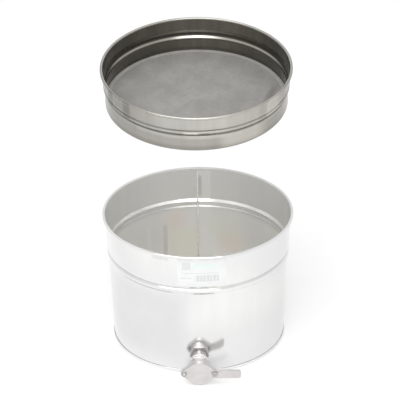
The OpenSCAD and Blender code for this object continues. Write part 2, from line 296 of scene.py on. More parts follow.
# Weld: a rippled bead with a straw and blue heat tint
def weldLook(name, plan, ripple):
    look = Look(name, {"Metallic": 1.0})
    spot = look.place()
    x, y, z = look.axes(spot)
    waves = (ripple(x, y, z) * (2 * math.pi / plan["pitch"])).sine()
    patches = look.cloud(spot, plan["patchScale"], 3, 0.6)
    colour = look.tint(patches.rise(0.35, 0.65), plan["light"], plan["dark"])
    look.feed("Base Color", look.tint(waves.rise(0.2, 1) * 0.4, colour, plan["straw"]))
    look.feed("Roughness", plan["rough"] + patches * 0.2)
    look.bump(waves + patches, 1.0, plan["height"])
    return look.material


weldFinish = {
    "light": (0.84, 0.835, 0.81), "dark": (0.68, 0.67, 0.65), "straw": (0.78, 0.72, 0.62),
    "pitch": 1.4 * mm, "patchScale": 160, "rough": 0.26, "height": 0.12 * mm,
}
# the weld finish darkened: painted shade, for the seam inside the strainer
paintedShadeWeld = dict(
    weldFinish, light=(0.42, 0.41, 0.38), dark=(0.30, 0.29, 0.27), straw=(0.36, 0.33, 0.27),
)


# Woven gauze: warp and weft wires that pass over and under each other
def gauzeLook(name, plan, moved):
    look = Look(name, {"Metallic": plan["metallic"]})
    spot = look.place(moved)
    x, y, z = look.axes(spot)
    warp = (x * (math.pi / plan["pitch"])).sine()
    weft = (y * (math.pi / plan["pitch"])).sine()
    over = warp * weft * 0.4
    warpWire = abs(warp).rise(plan["gap"], 1) * (over + 0.6)
    weftWire = abs(weft).rise(plan["gap"], 1) * (0.6 - over)
    wire = warpWire.largest(weftWire)
    patches = look.cloud(spot, plan["patchScale"], 4, 0.55)
    fine = look.cloud(spot, plan["fineScale"], 2, 0.6)
    body = look.tint(patches.rise(0.3, 0.7), plan["light"], plan["dark"])
    body = look.tint(fine.rise(0.4, 0.7) * 0.25, body, plan["grimeAndFoldShade"])
    # painted shade: darker bands along the folds near one edge, in the grime colour
    runX, runY = plan["foldRun"]
    folds = (x * runX - y * runY).sine().rise(0.0, 0.8)
    folds = folds * x.near(*plan["foldPlace"]) * abs(y).rise(*plan["foldEnds"])  # near one edge only
    body = look.tint(folds * plan["foldShadeDepth"], body, plan["grimeAndFoldShade"])
    look.feed("Base Color", look.tint(wire.rise(0.0, 0.5), plan["hole"], body))
    look.feed("Roughness", plan["rough"] - wire * 0.1)
    look.bump(wire, 0.6, plan["height"])
    return look.material


gauzeFinish = {
    "light": (0.45, 0.44, 0.42), "dark": (0.365, 0.355, 0.335), "grimeAndFoldShade": (0.27, 0.26, 0.24),
    "hole": (0.20, 0.20, 0.19), "pitch": 0.9 * mm, "gap": 0.45, "patchScale": 18,
    "fineScale": 140, "foldRun": (188, 77), "foldPlace": (0.146, 0.004, 0.024),
    "foldEnds": (0.055, 0.015), "foldShadeDepth": 0.75, "rough": 0.62, "metallic": 0.35, "height": 0.12 * mm,
}


def rubberLook(name, plan):
    look = Look(name, {"Metallic": 0.0, "Specular IOR Level": 0.35})
    dust = look.cloud(look.place(), plan["dustScale"], 4, 0.6)
    look.feed("Base Color", look.tint(dust.rise(0.4, 0.7), plan["clean"], plan["worn"]))
    look.feed("Roughness", plan["rough"] + dust * 0.2)
    look.bump(dust, 0.5, plan["height"])
    return look.material


sealRubber = {
    "clean": (0.82, 0.81, 0.78), "worn": (0.68, 0.66, 0.61), "dustScale": 300, "rough": 0.5,
    "height": 0.05 * mm,
}


# Generic printing on the label: pale blocks, thin rules and plain bars, by its own UV map.
# A block is left, right, low, high, colour, depth.
def labelLook(name, plan):
    look = Look(name, {"Metallic": 0.0, "Roughness": 0.32, "Coat Weight": 0.25, "Coat Roughness": 0.12})
    spot = look.add("ShaderNodeUVMap", {"uv_map": "label"}, {})
    u, v, w = look.axes(spot)
    fibre = look.cloud(look.place(), plan["fibreScale"], 4, 0.6)
    colour = look.tint(fibre.rise(0.3, 0.7), plan["paper"], plan["shade"])
    for left, right, low, high, ink, depth in plan["blocks"]:
        across = u.near((left + right) / 2, (right - left) / 2, plan["edge"])
        upward = v.near((low + high) / 2, (high - low) / 2, plan["edge"])
        colour = look.tint(across * upward * depth, colour, ink)
    left, right, low, high = plan["bars"]
    fine, coarse = plan["barRuns"]
    stripes = (u * fine).sine() + (u * coarse).sine() * 0.5
    inBars = u.near((left + right) / 2, (right - left) / 2, plan["edge"])
    inBars = inBars * v.near((low + high) / 2, (high - low) / 2, plan["edge"])
    colour = look.tint(inBars * stripes.rise(0.1, 0.5) * plan["barDepth"], colour, plan["ink"])
    look.feed("Base Color", colour)
    look.bump(fibre, 0.3, plan["height"])
    return look.material


mint = (0.66, 0.80, 0.74)
paleGrey = (0.55, 0.56, 0.57)
labelFinish = {
    "paper": (0.775, 0.785, 0.78), "shade": (0.74, 0.745, 0.745), "ink": (0.30, 0.29, 0.29),
    "fibreScale": 90, "edge": 0.006, "height": 0.03 * mm,
    "bars": (0.38, 0.85, 0.17, 0.40), "barRuns": (250, 92.5), "barDepth": 0.55,
    "blocks": (
        (0.33, 0.83, 0.66, 0.82, mint, 0.5), (0.10, 0.27, 0.60, 0.88, paleGrey, 0.45),
        (0.08, 0.84, 0.475, 0.49, paleGrey, 0.6), (0.06, 0.17, 0.27, 0.30, paleGrey, 0.6),
        (0.19, 0.29, 0.27, 0.30, paleGrey, 0.6), (0.20, 0.72, 0.07, 0.085, paleGrey, 0.35),
    ),
}
print("materials ready")


# Meshes

mergeDistance = 0.002 * mm
sharpDegrees = 32


def linked(bm, name, materials, sharpAngle=sharpDegrees):
    bmesh.ops.remove_doubles(bm, verts=bm.verts, dist=mergeDistance)
    bmesh.ops.recalc_face_normals(bm, faces=bm.faces)
    mesh = bpy.data.meshes.new(name)
    bm.to_mesh(mesh)
    bm.free()
    for material in materials:
        mesh.materials.append(material)
    mesh.shade_smooth()
    mesh.set_sharp_from_angle(angle=math.radians(sharpAngle))
    piece = bpy.data.objects.new(name, mesh)
    bpy.context.scene.collection.objects.link(piece)
    return piece


def placed(piece, body, slot, *nodes):
    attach(piece, body)
    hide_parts(*nodes)
    return piece


# A corner point with a radius becomes a short curve; each point is (r, z, radius)
def softened(points, bends=5):
    line = []
    for i, (r, z, radius) in enumerate(points):
        here = Vector((r, z))
        if not radius:
            line.append(here)
            continue
        before = Vector(points[i - 1][:2]) - here
        after = Vector(points[(i + 1) % len(points)][:2]) - here
        reach = min(radius, before.length * 0.49, after.length * 0.49)
        start, end = here + before.normalized() * reach, here + after.normalized() * reach
        for j in range(bends + 1):
            t = j / bends
            line.append(start * (1 - t) ** 2 + here * (2 * t * (1 - t)) + end * t ** 2)
    return line


# Spins a line of (r, z) points once round the Z axis; a closed line meets its own start
def spun(points, steps, closed):
    bm = bmesh.new()
    line = [bm.verts.new((point[0], 0, point[1])) for point in points]
    for first, second in zip(line, line[1:] + (line[:1] if closed else [])):
        bm.edges.new((first, second))
    bmesh.ops.spin(
        bm, geom=bm.verts[:] + bm.edges[:], cent=(0, 0, 0), axis=(0, 0, 1), dvec=(0, 0, 0),
        angle=2 * math.pi, steps=steps, use_merge=True, use_duplicate=False)
    bmesh.ops.remove_doubles(bm, verts=bm.verts, dist=mergeDistance)
    return bm


def revolved(outline, steps, closed=True):
    bm = spun(outline, steps, closed)
    bmesh.ops.recalc_face_normals(bm, faces=bm.faces)
    return bm


# Faces that look towards the axis take the second material
def markInside(bm):
    for face in bm.faces:
        middle = face.calc_center_median()
        if face.normal.x * middle.x + face.normal.y * middle.y < 0:
            face.material_index = 1


# The rolled rim: once round the curl, from the crease outside to the wall inside
def curlPoints(centre, height, radius, sheet, count=30):
    crease = math.pi + math.acos(1 - sheet / radius)
    angles = [crease + (3 * math.pi - crease) * i / count for i in range(count + 1)]
    return [(centre + radius * math.cos(a), height + radius * math.sin(a), 0) for a in angles]


# Tank

tank = {
    "sheet": 0.8 * mm,
    "grooveDrop": 78.5 * mm,
    "grooveHeight": 10 * mm,
    "grooveDepth": 2.8 * mm,
    "beadHeight": 10.5 * mm,
    "stepHeight": 3 * mm,
    "collarStep": 1.8 * mm,
    "crease": 0.6 * mm,
    "lowRings": (9 * mm, 11 * mm, 46 * mm, 49 * mm),  # round the hem's top and the outlet
    "plainRings": 10,
    "beadRings": 62,
    "collarRings": 5,
    "beadMargin": 1.5 * mm,
    "steps": 320,
}
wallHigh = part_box("tank_wall")[1]
wireLow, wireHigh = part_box("tank_rim_wire")
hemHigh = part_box("base_hem")[1]
panelLow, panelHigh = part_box("tank_bottom")
footR = panelHigh.x + tank["sheet"]
curlZ = (wireLow.z + wireHigh.z) / 2
curlR = wallHigh.z - curlZ
curlC = wallHigh.x - curlR
collarTop = curlC - curlR + tank["sheet"]
wallSlope = (collarTop - tank["collarStep"] - footR) / (curlZ - hemHigh.z)
grooveZ = wallHigh.z - tank["grooveDrop"]
stepZ = grooveZ - tank["beadHeight"]
grooveLean = 0.7  # share of a groove's height that lies over its bottom
collarLow = grooveZ + grooveLean * tank["grooveHeight"]


def coneRadius(z):
    return footR + wallSlope * max(0, z - hemHigh.z)


# A groove pressed in from outside: the wall under it, its bottom and the wall over it
def groove(z, under, over, plan):
    height = plan["grooveHeight"]
    return [
        (under, z - (1 - grooveLean) * height), (under - plan["grooveDepth"], z),
        (over, z + grooveLean * height),
    ]


stepLow, stepHigh = stepZ - tank["stepHeight"] / 2, stepZ + tank["stepHeight"] / 2
wallLine = [
    (footR, 0), (footR, hemHigh.z), (coneRadius(stepLow), stepLow),
    (coneRadius(stepHigh) + tank["collarStep"], stepHigh),
    *groove(
        grooveZ, coneRadius(grooveZ) + tank["collarStep"],
        coneRadius(collarLow) + tank["collarStep"], tank),
    (collarTop, curlZ),
]


# The radius at a height on a line of (radius, height) points, with its creases softened
def lineRadius(line, z, crease):
    total = 0
    shifts = (-1, -0.5, 0, 0.5, 1)
    for shift in shifts:
        height = z + shift * crease
        i = 1
        while i < len(line) - 1 and height > line[i][1]:
            i += 1
        (r1, z1), (r2, z2) = line[i - 1], line[i]
        total += r1 + (r2 - r1) * min(max((height - z1) / (z2 - z1), 0), 1)
    return total / len(shifts)


def wallRadius(z):
    return lineRadius(wallLine, z, tank["crease"])


def evenly(low, high, count):
    return [low + (high - low) * i / count for i in range(count + 1)]


# Heights of the wall's rings, close together over the bead and groove
def wallHeights(plan):
    foot = [plan["sheet"], hemHigh.z, *plan["lowRings"]]
    low, high = stepLow - plan["beadMargin"], collarLow + plan["beadMargin"]
    plain = evenly(foot[-1], low - 1 * mm, plan["plainRings"])[1:]
    bead = evenly(low, high, plan["beadRings"])
    collar = evenly(high, curlZ - curlR, plan["collarRings"])[1:-1]
    return foot + plain + bead + collar


# Painted shade outside: a grey line in the groove, a shadow line under the curl, darker towards the foot
tankPaintedShadeBands = (
    (grooveZ - 0.8 * mm, grooveZ + 1.0 * mm, 0.6 * mm, 0.2, greyPaintedShade),
    (curlZ - curlR - 1.5 * mm, curlZ - curlR + 1.2 * mm, 0.8 * mm, 0.5, greyPaintedShade),
    (-0.05, 0.07, 0.09, 0.8, (0.72, 0.72, 0.725)),
)
# Painted reflections and shade on the front: grey crescents under the groove and along the step, a grey
# patch under the curl, a broad grey patch on the left
tankPaintedShadeSpots = (
    (-1, 0.010, 0.045, grooveZ - 3 * mm, grooveZ - 1 * mm, 30 * mm, 0.5 * mm, 0.6, (0.66, 0.66, 0.66)),
    (-1, -0.103, 0.045, stepLow, stepHigh, 9 * mm, 1.2 * mm, 0.55, greyPaintedShade),
    (-1, 0.010, 0.016, stepLow, stepHigh, 8 * mm, 1.2 * mm, 0.55, greyPaintedShade),
    (-1, -0.076, 0.013, 0.2655, 0.270, 6 * mm, 2 * mm, 0.5, (0.60, 0.60, 0.59)),
    (-1, -0.105, 0.050, 0.050, 0.165, 50 * mm, 40 * mm, 0.6, (0.66, 0.66, 0.67)),
)
# Pale steel for painted highlights and light streaks on the far wall inside, and for the ground strip
# beside the seam
paintedLightAndGroundStrip = (0.99, 0.985, 0.97)
# The ring over the groove: inside, a painted highlight, and more metallic
swageLine = (grooveZ + 0.6 * mm, collarLow - 0.4 * mm, 0.8 * mm)  # the bright ring over the groove
# Inside the tank: a painted highlight on the ring over the groove, painted shade along the step, painted
# light over the lower wall
innerPaintedLightBands = (
    (*swageLine, 0.9, (0.95, 0.95, 0.93)),
    (stepLow - 0.5 * mm, stepHigh + 0.5 * mm, 0.8 * mm, 0.9, (0.60, 0.595, 0.58)),
    (-0.05, stepLow - 10 * mm, 9 * mm, 0.6, (0.95, 0.945, 0.92)),
)
# Far wall inside: mostly painted reflections and highlights (light and dark streaks, pale and warm
# patches, a light line on the step, a darker stretch of the ring's highlight); beside the seam, a pale
# ground strip and a dark weld mark
innerPaintedReflectionsAndSeamMarks = (
    (1, 0.010, 0.035, swageLine[0], swageLine[1], 35 * mm, 0.8 * mm, 0.7, (0.74, 0.74, 0.72)),
    (1, 0.015, 0.050, 0.000, 0.160, 60 * mm, 60 * mm, 0.9, (1.0, 0.985, 0.95)),
    (1, 0.0125, 0.010, 0.02, 0.271, 5 * mm, 2 * mm, 0.6, paintedLightAndGroundStrip),
    (1, 0.0255, 0.001, 0.02, 0.271, 2 * mm, 2 * mm, 0.6, paintedLightAndGroundStrip),
    (1, 0.0045, 0.0015, 0.220, 0.256, 5 * mm, 10 * mm, 0.6, (0.58, 0.57, 0.56)),
    (1, 0.022, 0.022, stepLow, stepHigh, 6 * mm, 1 * mm, 0.9, paintedLightAndGroundStrip),
    (1, -0.069, 0.002, 0.075, 0.150, 5 * mm, 8 * mm, 0.5, (0.62, 0.62, 0.58)),
    (1, 0.033, 0.001, 0.060, 0.160, 2 * mm, 6 * mm, 0.8, (1.0, 0.995, 0.98)),
    (1, -0.062, 0.001, 0.070, 0.150, 3 * mm, 8 * mm, 0.6, (1.0, 0.985, 0.95)),
    (1, -0.104, 0.002, 0.080, 0.150, 5 * mm, 14 * mm, 0.45, paintedLightAndGroundStrip),
    (1, 0.016, 0.010, 0.020, 0.170, 6 * mm, 6 * mm, 0.35, (1.0, 0.99, 0.96)),
    (1, -0.048, 0.008, 0.150, 0.170, 20 * mm, 24 * mm, 0.75, (1.0, 0.91, 0.85)),
    (1, -0.028, 0.016, 0.080, 0.125, 30 * mm, 26 * mm, 0.75, (0.98, 0.98, 0.85)),
    (1, 0.070, 0.010, 0.100, 0.125, 28 * mm, 24 * mm, 0.75, (1.0, 0.91, 0.83)),
    (1, 0.055, 0.018, 0.135, 0.160, 28 * mm, 22 * mm, 0.6, (0.98, 0.99, 0.88)),
)


def makeTankWall(plan):
    heights = wallHeights(plan)
    outer = [(wallRadius(z), z, 0) for z in heights]
    inner = [(wallRadius(z) - plan["sheet"], z, 0) for z in reversed(heights)]
    outline = outer + curlPoints(curlC, curlZ, curlR, plan["sheet"]) + inner
    bm = revolved(softened(outline), plan["steps"])
    markInside(bm)
    outside = sheetLook("tankOutside", tankOutside, bands=tankPaintedShadeBands, marksAndPaintedLight=tankPaintedShadeSpots)
    insidePlan = dict(tankInsidePaintedLight, polished=swageLine)
    inside = sheetLook("tankInsidePaintedLight", insidePlan, bands=innerPaintedLightBands, marksAndPaintedLight=innerPaintedReflectionsAndSeamMarks)
    return linked(bm, "tankWall", [outside, inside])


outletLow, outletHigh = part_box("outlet_pipe")
outletZ = (outletLow.z + outletHigh.z) / 2
pipeR = (outletHigh.z - outletLow.z) / 2


# Cuts a round hole along Y, from the middle to the front, and applies it
def drilled(piece, radius, height, length, sides=64):
    bm = bmesh.new()
    bmesh.ops.create_cone(
        bm, cap_ends=True, segments=sides, radius1=radius, radius2=radius, depth=length,
        matrix=Matrix.Translation((0, -length / 2, height)) @ Matrix.Rotation(math.pi / 2, 4, "X"))
    drill = linked(bm, "drill", [])
    cut = piece.modifiers.new("hole", "BOOLEAN")
    cut.object, cut.solver, cut.operation = drill, "EXACT", "DIFFERENCE"
    graph = bpy.context.evaluated_depsgraph_get()
    graph.update()
    mesh = bpy.data.meshes.new_from_object(piece.evaluated_get(graph))
    piece.modifiers.clear()
    piece.data = mesh
    mesh.set_sharp_from_angle(angle=math.radians(sharpDegrees))
    bpy.data.objects.remove(drill)
    return piece


placed(drilled(makeTankWall(tank), pipeR, outletZ, 0.3), "tank", "tank_steel", "tank_wall")
print("tank wall made")


# The sheet folded round the wall's foot and up to the panel inside
def makeBaseHem():
    sheet = tank["sheet"]
    inner = footR - 3 * sheet
    points = [
        (footR, sheet, 0), (inner + sheet, sheet, 0.2 * mm), (inner + sheet, panelLow.z, 0),
        (inner, panelLow.z, 0), (inner, 0, 0.5 * mm), (hemHigh.x, 0, 0.8 * mm),
        (hemHigh.x, hemHigh.z, 0.9 * mm), (footR + 0.2 * mm, hemHigh.z, 0.3 * mm),
    ]
    bm = revolved(softened(points), tank["steps"])
    return linked(bm, "baseHem", [sheetLook("hemSteel", tankOutside)])


# The base sheet, a little dished, with its skirt turned down; both its faces meet the axis
def makeBottomPanel():
    top, edge, sheet = panelHigh.z, panelHigh.x, tank["sheet"]
    dish = 0.3 * mm
    points = [
        (0, top - dish, 0), (90 * mm, top - 0.2 * mm, 0), (edge - 0.3 * mm, top, 0.6 * mm),
        (edge, panelLow.z, 0), (edge - sheet, panelLow.z, 0),
        (edge - sheet, top - sheet, 0), (0, top - dish - sheet, 0),
    ]
    bm = revolved(softened(points), 192, closed=False)
    return linked(bm, "bottomPanel", [sheetLook("panelSteel", tankInsidePaintedLight)])


placed(makeBaseHem(), "tank", "tank_steel", "base_hem")
placed(makeBottomPanel(), "tank", "tank_steel", "tank_bottom")
print("foot made")


# A thin strip on a round wall, bulged across its width; spot gives a point for (across, along)
def weldStrip(bm, spot, columns, rows, thickness):
    made = bmesh.ops.create_grid(bm, x_segments=columns, y_segments=rows, size=0.5)
    for vert in made["verts"]:
        vert.co = spot(vert.co.x, vert.co.y + 0.5)
    faces = list({face for vert in made["verts"] for face in vert.link_faces})
    bmesh.ops.recalc_face_normals(bm, faces=faces)
    bmesh.ops.solidify(bm, geom=faces, thickness=thickness)


seam = {
    "width": 3 * mm,
    "proud": 0.35 * mm,
    "proudOutside": 0.06 * mm,
    "ripple": 0.06 * mm,
    "slant": 3,
    "pitch": 1.4 * mm,
    "rows": 420,
}
seamLow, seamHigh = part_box("side_seam_weld")


def makeSideSeam():
    bm = bmesh.new()

    def inside(across, along):
        z = seamLow.z + along * (seamHigh.z - seamLow.z)
        wave = math.sin(2 * math.pi * z / seam["pitch"] + seam["slant"] * across)
        swell = seam["proud"] * (1 - (2 * across) ** 2) + seam["ripple"] * wave
        r = wallRadius(z) - tank["sheet"] - swell
        x = across * seam["width"]
        return Vector((x, math.sqrt(r * r - x * x), z))

    def outside(across, along):
        z = seamLow.z + along * (seamHigh.z - seamLow.z)
        r = wallRadius(z) + seam["proudOutside"] * (1 - (2 * across) ** 2)
        x = across * seam["width"]
        return Vector((x, math.sqrt(r * r - x * x), z))

    weldStrip(bm, inside, 6, seam["rows"], 0.3 * mm)
    weldStrip(bm, outside, 4, 60, 0.2 * mm)
    return linked(bm, "sideSeam", [weldLook("seamWeld", weldFinish, lambda x, y, z: z)])


placed(makeSideSeam(), "tank", "weld_steel", "side_seam_weld")


# Outlet and gate. Pieces are turned about the gate's axis: local +Z points out of the tank.

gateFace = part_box("gate_body")[0].y
outlet = {
    "bore": 13.5 * mm,
    "threadPitch": 2.3 * mm,
    "threadDepth": 0.7 * mm,
    "threadRidges": 4,
    "threadShape": ((0.35, 1, 0.2), (0.6, 1, 0.2), (0.9, 0, 0.1), (1, 0, 0.1)),  # pitch, depth, bend
    "weldWidth": 2.5 * mm,
    "weldSink": 0.3 * mm,
    "weldRipples": 34,
    "weldRippleDepth": 0.12,
}
atGate = Matrix.Translation((0, gateFace, outletZ)) @ Matrix.Rotation(math.pi / 2, 4, "X")
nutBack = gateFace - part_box("lock_nut")[1].y


def makeOutletPipe():
    inner, outer = gateFace - outletHigh.y, gateFace - outletLow.y
    pitch, deep = outlet["threadPitch"], outlet["threadDepth"]
    start = nutBack - outlet["threadRidges"] * pitch
    points = [(outlet["bore"], inner, 0), (pipeR, inner, 0.3 * mm), (pipeR, start, 0.2 * mm)]
    for i in range(outlet["threadRidges"]):
        for along, down, bend in outlet["threadShape"]:
            points.append((pipeR - down * deep, start + (i + along) * pitch, bend * mm))
    points += [
        (pipeR - deep, nutBack, 0), (pipeR - deep, outer, 0.3 * mm), (outlet["bore"], outer, 0),
    ]
    bm = revolved(softened(points, 3), 96)
    bm.transform(atGate)
    return linked(bm, "outletPipe", [turnedLook("pipeSteel", gateSteel)])


def wallFront(x, z):
    r = wallRadius(z)
    return -math.sqrt(r * r - x * x)


# A fillet weld that follows the round wall, with its ripples
def makeOutletWeld():
    wide, sink = outlet["weldWidth"], outlet["weldSink"]
    arc = [math.radians(a) for a in range(0, 91, 15)]
    fillet = [(pipeR + wide - wide * math.sin(a), wide - wide * math.cos(a), 0) for a in arc]
    points = [(pipeR - sink, -sink, 0), (pipeR + wide, -sink, 0), *fillet, (pipeR - sink, wide, 0)]
    bm = revolved(softened(points), outlet["weldRipples"] * 8)
    for vert in bm.verts:
        x, z, out = vert.co.x, outletZ + vert.co.y, vert.co.z
        turn = math.atan2(vert.co.y, vert.co.x)
        wave = outlet["weldRippleDepth"] * math.sin(outlet["weldRipples"] * turn)
        ripple = 1 + wave if out > 0 else 1
        vert.co = Vector((x, wallFront(x, z) - out * ripple, z))

    def around(x, y, z):
        return (z - outletZ).maths("ARCTAN2", x) * pipeR

    return linked(bm, "outletWeld", [weldLook("outletWeld", weldFinish, around)])


cadMerge = 0.004 * mm
flatDegrees = 0.5  # faces that meet under this angle are one
sharpTurn = 0.6  # edges that turn more than this, in radians, are broken


# A merged copy of a CAD node with its sharp edges broken
def edgesBroken(node, name, width, material, segments=2):
    bm = bmesh.new()
    bm.from_mesh(frame["nodes"][node].data)
    bmesh.ops.remove_doubles(bm, verts=bm.verts, dist=cadMerge)
    bmesh.ops.dissolve_limit(bm, angle_limit=math.radians(flatDegrees), verts=bm.verts, edges=bm.edges)
    inner = [edge for edge in bm.edges if len(edge.link_faces) == 2]
    sharp = [edge for edge in inner if edge.calc_face_angle() > sharpTurn]
    bmesh.ops.bevel(
        bm, geom=sharp, offset=width, affect="EDGES", segments=segments, profile=0.5, material=-1,
        clamp_overlap=True)
    return linked(bm, name, [material], 40)


flapSteel = turnedLook("flapSteel", smoothSteel)
castSteel = turnedLook("castSteel", paleSteel)
boltFinish = turnedLook("boltSteel", boltSteel)
placed(makeOutletPipe(), "tank", "gate_steel", "outlet_pipe")
placed(makeOutletWeld(), "tank", "weld_steel", "outlet_weld")
placed(edgesBroken("lock_nut", "lockNut", 0.6 * mm, flapSteel, 3), "tank", "gate_steel", "lock_nut")
placed(edgesBroken("gate_body", "gateBody", 0.35 * mm, castSteel), "tank", "gate_steel", "gate_body")
placed(edgesBroken("gate_flap", "gateFlap", 0.5 * mm, flapSteel, 3), "flap", "gate_steel", "gate_flap")
seal = edgesBroken("gate_seal", "gateSeal", 0.3 * mm, rubberLook("sealRubber", sealRubber))
placed(seal, "tank", "seal_rubber", "gate_seal")
for node, name, body in (
    ("pivot_bolt", "pivotBolt", "tank"), ("pivot_washer", "pivotWasher", "tank"),
    ("pivot_nut", "pivotNut", "tank"), ("clamp_bolt", "clampBolt", "tank"),
    ("clamp_washer", "clampWasher", "clamp"),
):
    placed(edgesBroken(node, name, 0.2 * mm, boltFinish), body, "bolt_steel", node)

clampNut = {
    "hole": 2.55 * mm,
    "ridges": 24,
    "ridgeDepth": 0.45 * mm,
    "chamfer": 0.9 * mm,
    "bend": 0.2 * mm,
    "sinkFrom": 0.62,  # the sunk face, in shares of the radius
    "sinkTo": 0.55,
    "sinkDepth": 0.5 * mm,
    "steps": 192,
}


# The knurled nut: a turned ring whose outer face is drawn into ridges
def makeClampNut(plan):
    low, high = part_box("clamp_nut")
    centre = (low + high) / 2
    outer = (high.z - low.z) / 2
    back, front = gateFace - high.y, gateFace - low.y
    hole, chamfer, bend = plan["hole"], plan["chamfer"], plan["bend"]
    sunk = front - plan["sinkDepth"]
    points = [
        (hole, back, bend), (outer - chamfer, back, bend), (outer, back + chamfer, 0.3 * mm),
        (outer, front - chamfer, 0.3 * mm), (outer - chamfer, front, bend),
        (outer * plan["sinkFrom"], front, bend), (outer * plan["sinkTo"], sunk, bend), (hole, sunk, bend),
    ]
    bm = revolved(softened(points, 3), plan["steps"])
    for vert in bm.verts:
        r = math.hypot(vert.co.x, vert.co.y)
        if r > outer - chamfer * 0.6:
            turn = math.atan2(vert.co.y, vert.co.x)
            cut = plan["ridgeDepth"] * (0.5 - 0.5 * math.cos(plan["ridges"] * turn))
            vert.co.x *= 1 - cut / r
            vert.co.y *= 1 - cut / r
    bm.transform(Matrix.Translation((centre.x, 0, 0)) @ atGate)
    return linked(bm, "clampNut", [boltFinish])


placed(makeClampNut(clampNut), "clamp", "bolt_steel", "clamp_nut")
print("gate made")


# Label

label = {
    "thick": 0.12 * mm,
    "clear": 0.08 * mm,
    "corner": 0.05,  # share of the height whose ends draw in
    "cornerDraw": 0.02,
    "lift": 0.5 * mm,  # of the upper right corner, over the last share of the diagonal
    "liftShare": 0.14,
    "wrinkle": 0.05 * mm,
    "wrinkleRun": (6, 5),
    "columns": 48,
    "rows": 30,
}


def makeLabel(plan):
    low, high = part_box("label")
    tall = high.z - low.z
    middle = (low.x + high.x) / 2
    wide = high.x - low.x
    bm = bmesh.new()
    bmesh.ops.create_grid(
        bm, x_segments=plan["columns"], y_segments=plan["rows"], size=0.5, calc_uvs=True)
    uv = bm.loops.layers.uv.new("label")
    for face in bm.faces:
        for loop in face.loops:
            loop[uv].uv = (loop.vert.co.x + 0.5, loop.vert.co.y + 0.5)
    for vert in bm.verts:
        u, v = vert.co.x, vert.co.y
        edge = max(abs(v) - (0.5 - plan["corner"]), 0) / plan["corner"]
        u *= 1 - plan["cornerDraw"] * edge ** 2
        x, z = middle + u * wide, low.z + (v + 0.5) * tall
        peel = max(u + v - (1 - plan["liftShare"]), 0) * plan["lift"] / plan["liftShare"]
        runU, runV = plan["wrinkleRun"]
        wrinkle = plan["wrinkle"] * noise.noise(Vector((u * runU, v * runV, 2)))
        r = wallRadius(z) + plan["clear"] + peel + wrinkle
        vert.co = Vector((x, -math.sqrt(r * r - x * x), z))
    bm.normal_update()
    bmesh.ops.solidify(bm, geom=bm.faces[:], thickness=plan["thick"])
    return linked(bm, "paperLabel", [labelLook("paperLabel", labelFinish)])


placed(makeLabel(label), "tank", "label_paper", "label")
print("label made")


# Strainer, drawn upright on its own lower edge and then lifted and tipped as the frame has it

strainer = {
    "sheet": 0.8 * mm,
    "height": 81 * mm,
    "lowHeight": 35 * mm,
    "beadHeight": 12.5 * mm,
    "grooveHeight": 10 * mm,
    "grooveDepth": 1.2 * mm,
    "upperDraw": 1 * mm,
    "lowerDraw": 3.5 * mm,
    "curl": 2.8 * mm,
    "edgeTurn": 3 * mm,
    "edgeFlat": 3 * mm,
    "crease": 0.7 * mm,
    "meshLift": 7 * mm,
    "meshThick": 0.5 * mm,
    "holdWidth": 8 * mm,
    "beadLow": 4.5 * mm,  # close rings from this under the low groove to this over the high one
    "beadHigh": 8.5 * mm,
    "plainRings": 6,
    "beadRings": 64,
    "collarRings": 5,
    "steps": 320,
}
lift = joints["strainer_lift"]
far = Vector(lift["pos_m"])
tip = math.radians(-lift["range_deg"][0])
curlHeight = strainer["height"] - strainer["curl"]
seated = Matrix.Translation((0, 0, far.z - curlHeight))
lifted = Matrix.Translation(far) @ Matrix.Rotation(tip, 4, "X") @ Matrix.Translation(-far) @ seated
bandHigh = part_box("strainer_band")[1]
bandR = bandHigh.x - 2 * strainer["curl"] + strainer["sheet"]
beadR = bandR - strainer["upperDraw"]
lowR = beadR - strainer["lowerDraw"]
lowGroove = strainer["lowHeight"]
highGroove = lowGroove + strainer["beadHeight"]
bandLine = [
    (lowR, 0), *groove(lowGroove, lowR, beadR, strainer),
    *groove(highGroove, beadR, bandR, strainer),
    (bandR, strainer["height"]),
]


def bandRadius(z):
    return lineRadius(bandLine, z, strainer["crease"])


# Painted shade on the strainer's outside: darker towards the lower edge, dark lines in both grooves and
# under the curl
strainerPaintedShadeBands = (
    (-5 * mm, lowGroove - 11 * mm, 7 * mm, 0.6, (0.28, 0.27, 0.245)),
    (-5 * mm, 6 * mm, 9 * mm, 0.5, (0.2, 0.19, 0.17)),
    (lowGroove - 0.8 * mm, lowGroove + 2.6 * mm, 1 * mm, 0.7, darkPaintedShade),
    (highGroove - 0.8 * mm, highGroove + 1.2 * mm, 0.9 * mm, 0.55, darkPaintedShade),
    (curlHeight - 4 * mm, curlHeight - 2.4 * mm, 0.8 * mm, 0.3, darkPaintedShade),
)
